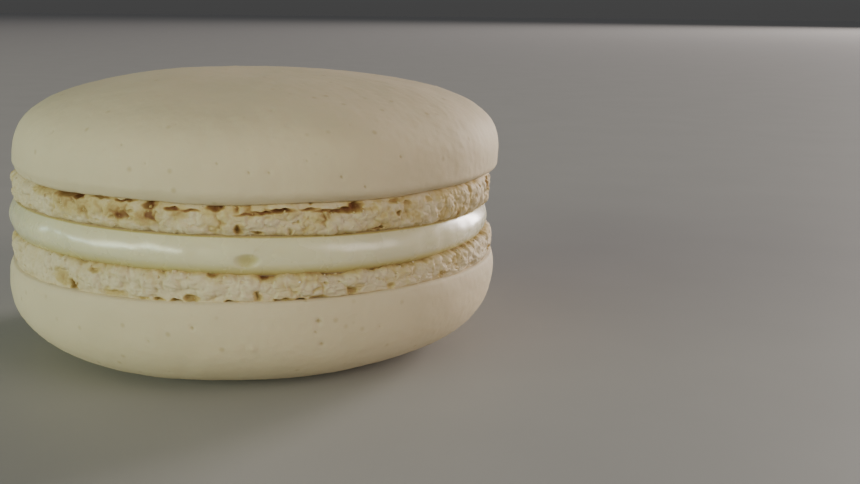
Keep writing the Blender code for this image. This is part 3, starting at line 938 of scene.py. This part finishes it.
def ball_pattern():
    """(points, faces) of a ball of radius 1: rings of points between its two poles."""
    tilt = np.linspace(0, math.pi, CRUMB_RINGS + 2)[1:-1]
    turn = np.linspace(0, 2 * math.pi, CRUMB_SIDES, endpoint=False)
    upright = np.repeat(np.cos(tilt)[:, None], CRUMB_SIDES, axis=1)
    across = np.outer(np.sin(tilt), np.cos(turn))
    back = np.outer(np.sin(tilt), np.sin(turn))
    rings = np.stack([across, back, upright], axis=-1)
    points = np.vstack([[[0, 0, 1]], rings.reshape(-1, 3), [[0, 0, -1]]])
    here = np.arange(CRUMB_SIDES)
    after = (here + 1) % CRUMB_SIDES
    faces = np.stack([np.zeros_like(here), 1 + here, 1 + after], axis=-1).tolist()
    for ring in range(CRUMB_RINGS - 1):
        above = 1 + ring * CRUMB_SIDES
        below = above + CRUMB_SIDES
        faces += np.stack([above + here, below + here, below + after, above + after], axis=-1).tolist()
    last = 1 + (CRUMB_RINGS - 1) * CRUMB_SIDES
    faces += np.stack([last + here, np.full_like(here, len(points) - 1), last + after], axis=-1).tolist()
    return points, faces


def strew(name, seats, sizes, brown_and_shade, random):
    """Many small balls, each squashed and turned its own way, with their middles at the seats."""
    pattern, faces = ball_pattern()
    turned = np.linalg.qr(random.normal(size=(len(seats), 3, 3)))[0]
    turned *= np.linalg.det(turned)[:, None, None]
    squash = sizes[:, None] * random.uniform(*CRUMB_SQUASH, (len(seats), 3))
    corners = (pattern[None] * squash[:, None]) @ turned + seats[:, None]
    offsets = np.arange(len(seats)) * len(pattern)
    every = [[corner + offset for corner in face] for offset in offsets.tolist() for face in faces]
    return skin(name, corners.reshape(-1, 3), every, np.repeat(brown_and_shade, len(pattern)))


def seats_on(points, brown, axis, shown, count, radii, random):
    """(middles, sizes, shares of brown and painted shade): the crumbs that show, then others at random on
    the side of a foot.
    """
    side = points[2:-2]
    rows, steps = zip(*(nearest_place(side, axis, place, level) for place, level, _ in shown))
    rows = np.concatenate([rows, random.integers(CRUMB_FIRST_ROW, len(side) - 2, count)]).astype(int)
    steps = np.concatenate([steps, random.integers(0, side.shape[1], count)]).astype(int)
    sizes = np.concatenate([[row[2] * MM for row in shown], random.uniform(*radii, count)])
    seats = side[rows, steps]
    outward = (seats - [axis, 0, 0]) * [1, 1, 0]
    outward /= np.linalg.norm(outward, axis=1, keepdims=True)
    return seats - CRUMB_SINK * sizes[:, None] * outward, sizes, CRUMB_BROWN_AND_SHADE * brown[2:-2][rows, steps]


def sugar():
    """Grains of sugar: white, with a fine noise that frosts them in places."""
    material, tree, shader, place = new_finish("sugar")
    frost = put(tree, "ShaderNodeTexNoise", {"Vector": place, "Scale": FROST_SCALE}).outputs["Fac"]
    rough = put_ramp(tree, frost, [(0.3, grey(FROST_ROUGHNESS[0])), (0.7, grey(FROST_ROUGHNESS[1]))])
    tree.links.new(rough, shader.inputs["Roughness"])
    shader.inputs["Base Color"].default_value = (*SUGAR, 1.0)
    return material


crumb_random = np.random.default_rng(31)
lower_side = (lower_foot_points, lower_foot_brown, LOWER_AXIS)
upper_side = (upper_foot_points, upper_foot_brown, UPPER_AXIS)
lower_seats = seats_on(*lower_side, LOWER_SHOWN_CRUMBS, CRUMB_COUNT, CRUMB_RADIUS, crumb_random)
upper_seats = seats_on(*upper_side, UPPER_SHOWN_CRUMBS, CRUMB_COUNT, CRUMB_RADIUS, crumb_random)
grain_seats = seats_on(*lower_side, SHOWN_GRAINS, GRAIN_COUNT, GRAIN_RADIUS, crumb_random)
lower_crumbs = strew("lower_crumbs", *lower_seats, crumb_random)
upper_crumbs = strew("upper_crumbs", *upper_seats, crumb_random)
sugar_grains = strew("sugar_grains", *grain_seats, crumb_random)

for crumbs, node, finish in (
    (lower_crumbs, "bottom_shell", foot_froth),
    (upper_crumbs, "top_shell", foot_froth),
    (sugar_grains, "bottom_shell", sugar()),
):
    crumbs.data.materials.append(finish)
    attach(crumbs, "root")
    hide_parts(node)

# Studio: a pale table top, two soft lamps at the front left, the second a low strip, and a weak fill at the
# right. A tall lamp behind at the right leaves the bright spot on the cream. The camera is low and near.
FLOOR_RADIUS = 6.0
FLOOR_COLOUR = (0.37, 0.365, 0.345)
ROOM_COLOUR = (0.32, 0.325, 0.35)
WALL_COLOUR = (0.25, 0.26, 0.27)
HORIZON_COLOUR = (0.155, 0.155, 0.155)
ROOM_STRENGTH = 0.40
MOTTLE = 1.05
MOTTLE_SCALE = 60.0
FLOOR_ROUGHNESS = 0.6
LAMP_TARGET = (0.0, 0.0, 13 * MM)
# Name, place, width and height in metres, watts and colour.
LAMPS = [
    ("front_lamp", (-0.99, -1.05, 0.34), (1.30, 0.46), 12.5, (0.95, 1.0, 0.74)),
    ("low_lamp", (-0.90, -0.42, 0.13), (1.10, 0.14), 3.1, (0.72, 1.0, 0.96)),
    ("right_lamp", (1.92, 1.98, 0.62), (0.86, 1.10), 82.0, (1.0, 0.91, 0.89)),
    ("fill_lamp", (1.08, -0.66, 0.44), (0.90, 0.68), 7.7, (1.0, 0.87, 0.79)),
]
CAMERA_PLACE = (16.80 * MM, -106.5 * MM, 31.57 * MM)
CAMERA_PITCH = math.radians(90 - 11.83)
CAMERA_ROLL = math.radians(0.556)
CAMERA_LENS = 46.2
CAMERA_FILM = 36.0


def floor_material():
    """A matt pale table top with a faint fine mottle."""
    material, tree, shader, place = new_finish("table_top")
    cloud = put(tree, "ShaderNodeTexNoise", {"Vector": place, "Scale": MOTTLE_SCALE, "Detail": 4.0})
    lighter = tuple(MOTTLE * part for part in FLOOR_COLOUR)
    colour = put_ramp(tree, cloud.outputs["Fac"], [(0.3, FLOOR_COLOUR), (0.7, lighter)])
    tree.links.new(colour, shader.inputs["Base Color"])
    shader.inputs["Roughness"].default_value = FLOOR_ROUGHNESS
    return material


def lamp(name, place, size, power, colour):
    """A soft lamp, (width, height) in size and of so many watts, that faces the middle of the cookie."""
    light = bpy.data.lights.new(name, "AREA")
    light.shape = "RECTANGLE"
    light.size, light.size_y = size
    light.energy = power
    light.color = colour
    holder = bpy.data.objects.new(name, light)
    bpy.context.scene.collection.objects.link(holder)
    holder.location = place
    way = Vector(LAMP_TARGET) - Vector(place)
    holder.rotation_euler = way.to_track_quat("-Z", "Y").to_euler()


bpy.ops.mesh.primitive_circle_add(vertices=64, radius=FLOOR_RADIUS, fill_type="NGON", location=(0, 0, 0))
floor = bpy.context.object
floor.name = "table_top"
floor.data.materials.append(floor_material())

for row in LAMPS:
    lamp(*row)

world = bpy.data.worlds.new("room")
world.use_nodes = True
sky = world.node_tree
outwards = put(sky, "ShaderNodeTexCoord").outputs["Generated"]
upward = put(sky, "ShaderNodeSeparateXYZ", {"Vector": outwards}).outputs["Z"]
room_light = put_ramp(sky, upward, [(0.0, HORIZON_COLOUR), (0.25, WALL_COLOUR), (0.6, ROOM_COLOUR)])
sky.links.new(room_light, sky.nodes["Background"].inputs["Color"])
sky.nodes["Background"].inputs["Strength"].default_value = ROOM_STRENGTH
bpy.context.scene.world = world

lens = bpy.data.cameras.new("camera")
lens.lens = CAMERA_LENS
lens.sensor_width = CAMERA_FILM
lens.clip_start = 1 * MM
camera = bpy.data.objects.new("camera", lens)
bpy.context.scene.collection.objects.link(camera)
facing = Matrix.Rotation(CAMERA_PITCH, 4, "X") @ Matrix.Rotation(CAMERA_ROLL, 4, "Z")
camera.matrix_world = Matrix.Translation(CAMERA_PLACE) @ facing
bpy.context.scene.camera = camera
